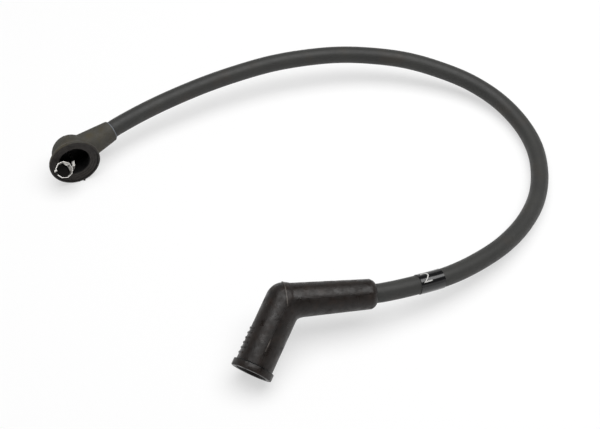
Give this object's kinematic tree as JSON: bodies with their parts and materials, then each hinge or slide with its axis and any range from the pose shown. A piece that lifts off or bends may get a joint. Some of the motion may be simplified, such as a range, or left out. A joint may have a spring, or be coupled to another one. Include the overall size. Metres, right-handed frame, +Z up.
{
  "type": "spark plug wire",
  "caption": "Ignition lead with a cupped right-angle boot at its coil end, an angled plug boot at the other end and a numbered band on the wire.",
  "frame": {"origin": "on the plane that the lead lies on, under the middle of the box round its two boots", "axes": "+Z up from the plane that the lead lies on, +X from the coil boot towards the wire's loop, -Y the side that both boot mouths face"},
  "size_m": [0.1989, 0.1637, 0.0247],
  "materials": {
    "wire_jacket": "satin silicone jacket, dark grey",
    "coil_rubber": "matte moulded rubber, grey brown",
    "plug_rubber": "satin moulded rubber, brown black",
    "terminal_steel": "plated folded sheet",
    "band_black": "gloss shrunk sleeve with a white figure"
  },
  "bodies": {
    "root": {"ignition_wire": "wire_jacket", "number_band": "band_black", "coil_boot": "coil_rubber", "coil_terminal": "terminal_steel", "coil_strand": "terminal_steel", "plug_boot": "plug_rubber", "plug_terminal": "terminal_steel", "plug_strand": "terminal_steel"}
  },
  "joints": []
}
